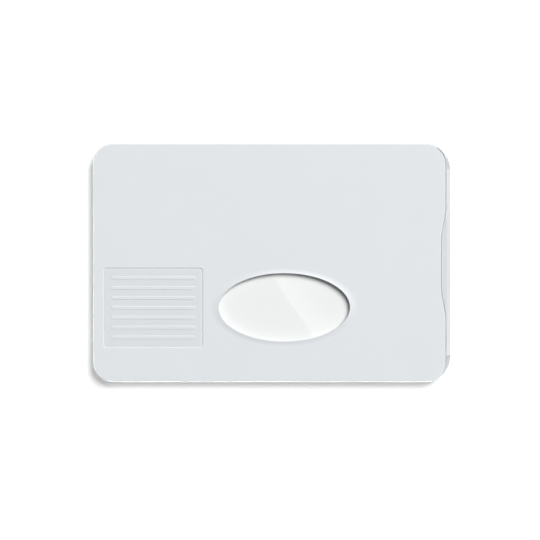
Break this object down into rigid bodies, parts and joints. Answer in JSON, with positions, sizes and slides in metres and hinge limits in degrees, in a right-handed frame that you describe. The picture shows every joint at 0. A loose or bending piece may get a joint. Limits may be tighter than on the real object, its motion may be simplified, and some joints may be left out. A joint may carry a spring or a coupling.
{
  "type": "rfid card sleeve",
  "caption": "Rigid shielded sleeve for a bank card, with an oval thumb window, a finger notch at its open end and the card that slides out of it.",
  "frame": {"origin": "centre of the flat back face that the sleeve rests on", "axes": "+X towards the open mouth, +Y across the sleeve, +Z out of the front face with the window"},
  "size_m": [0.09, 0.06, 0.0038],
  "materials": {
    "shell": "pale grey-white moulded ABS with a fine satin grain",
    "foil": "rolled aluminium foil",
    "film": "clear polyester film",
    "card_overlay": "clear glossy overlay pressed on white card",
    "card_core": "white PVC sheet",
    "antenna": "etched copper",
    "capsule": "black epoxy",
    "contacts": "gold-plated contacts",
    "stripe": "dark magnetic tape"
  },
  "bodies": {
    "sleeve": {"rear_panel": "shell", "side_frame": "shell", "front_cover": "shell", "rear_shield_foil": "foil", "front_shield_foil": "foil", "rear_liner_film": "film", "front_liner_film": "film"},
    "card": {"card_front_overlay": "card_overlay", "card_front_core": "card_core", "card_rear_core": "card_core", "card_rear_overlay": "card_overlay", "card_antenna": "antenna", "card_chip_capsule": "capsule", "card_contact_plate": "contacts", "card_magnetic_stripe": "stripe"}
  },
  "joints": [
    {"name": "card_slide", "type": "slide", "parent": "sleeve", "child": "card", "axis": [1, 0, 0], "range_m": [0, 0.09]}
  ]
}
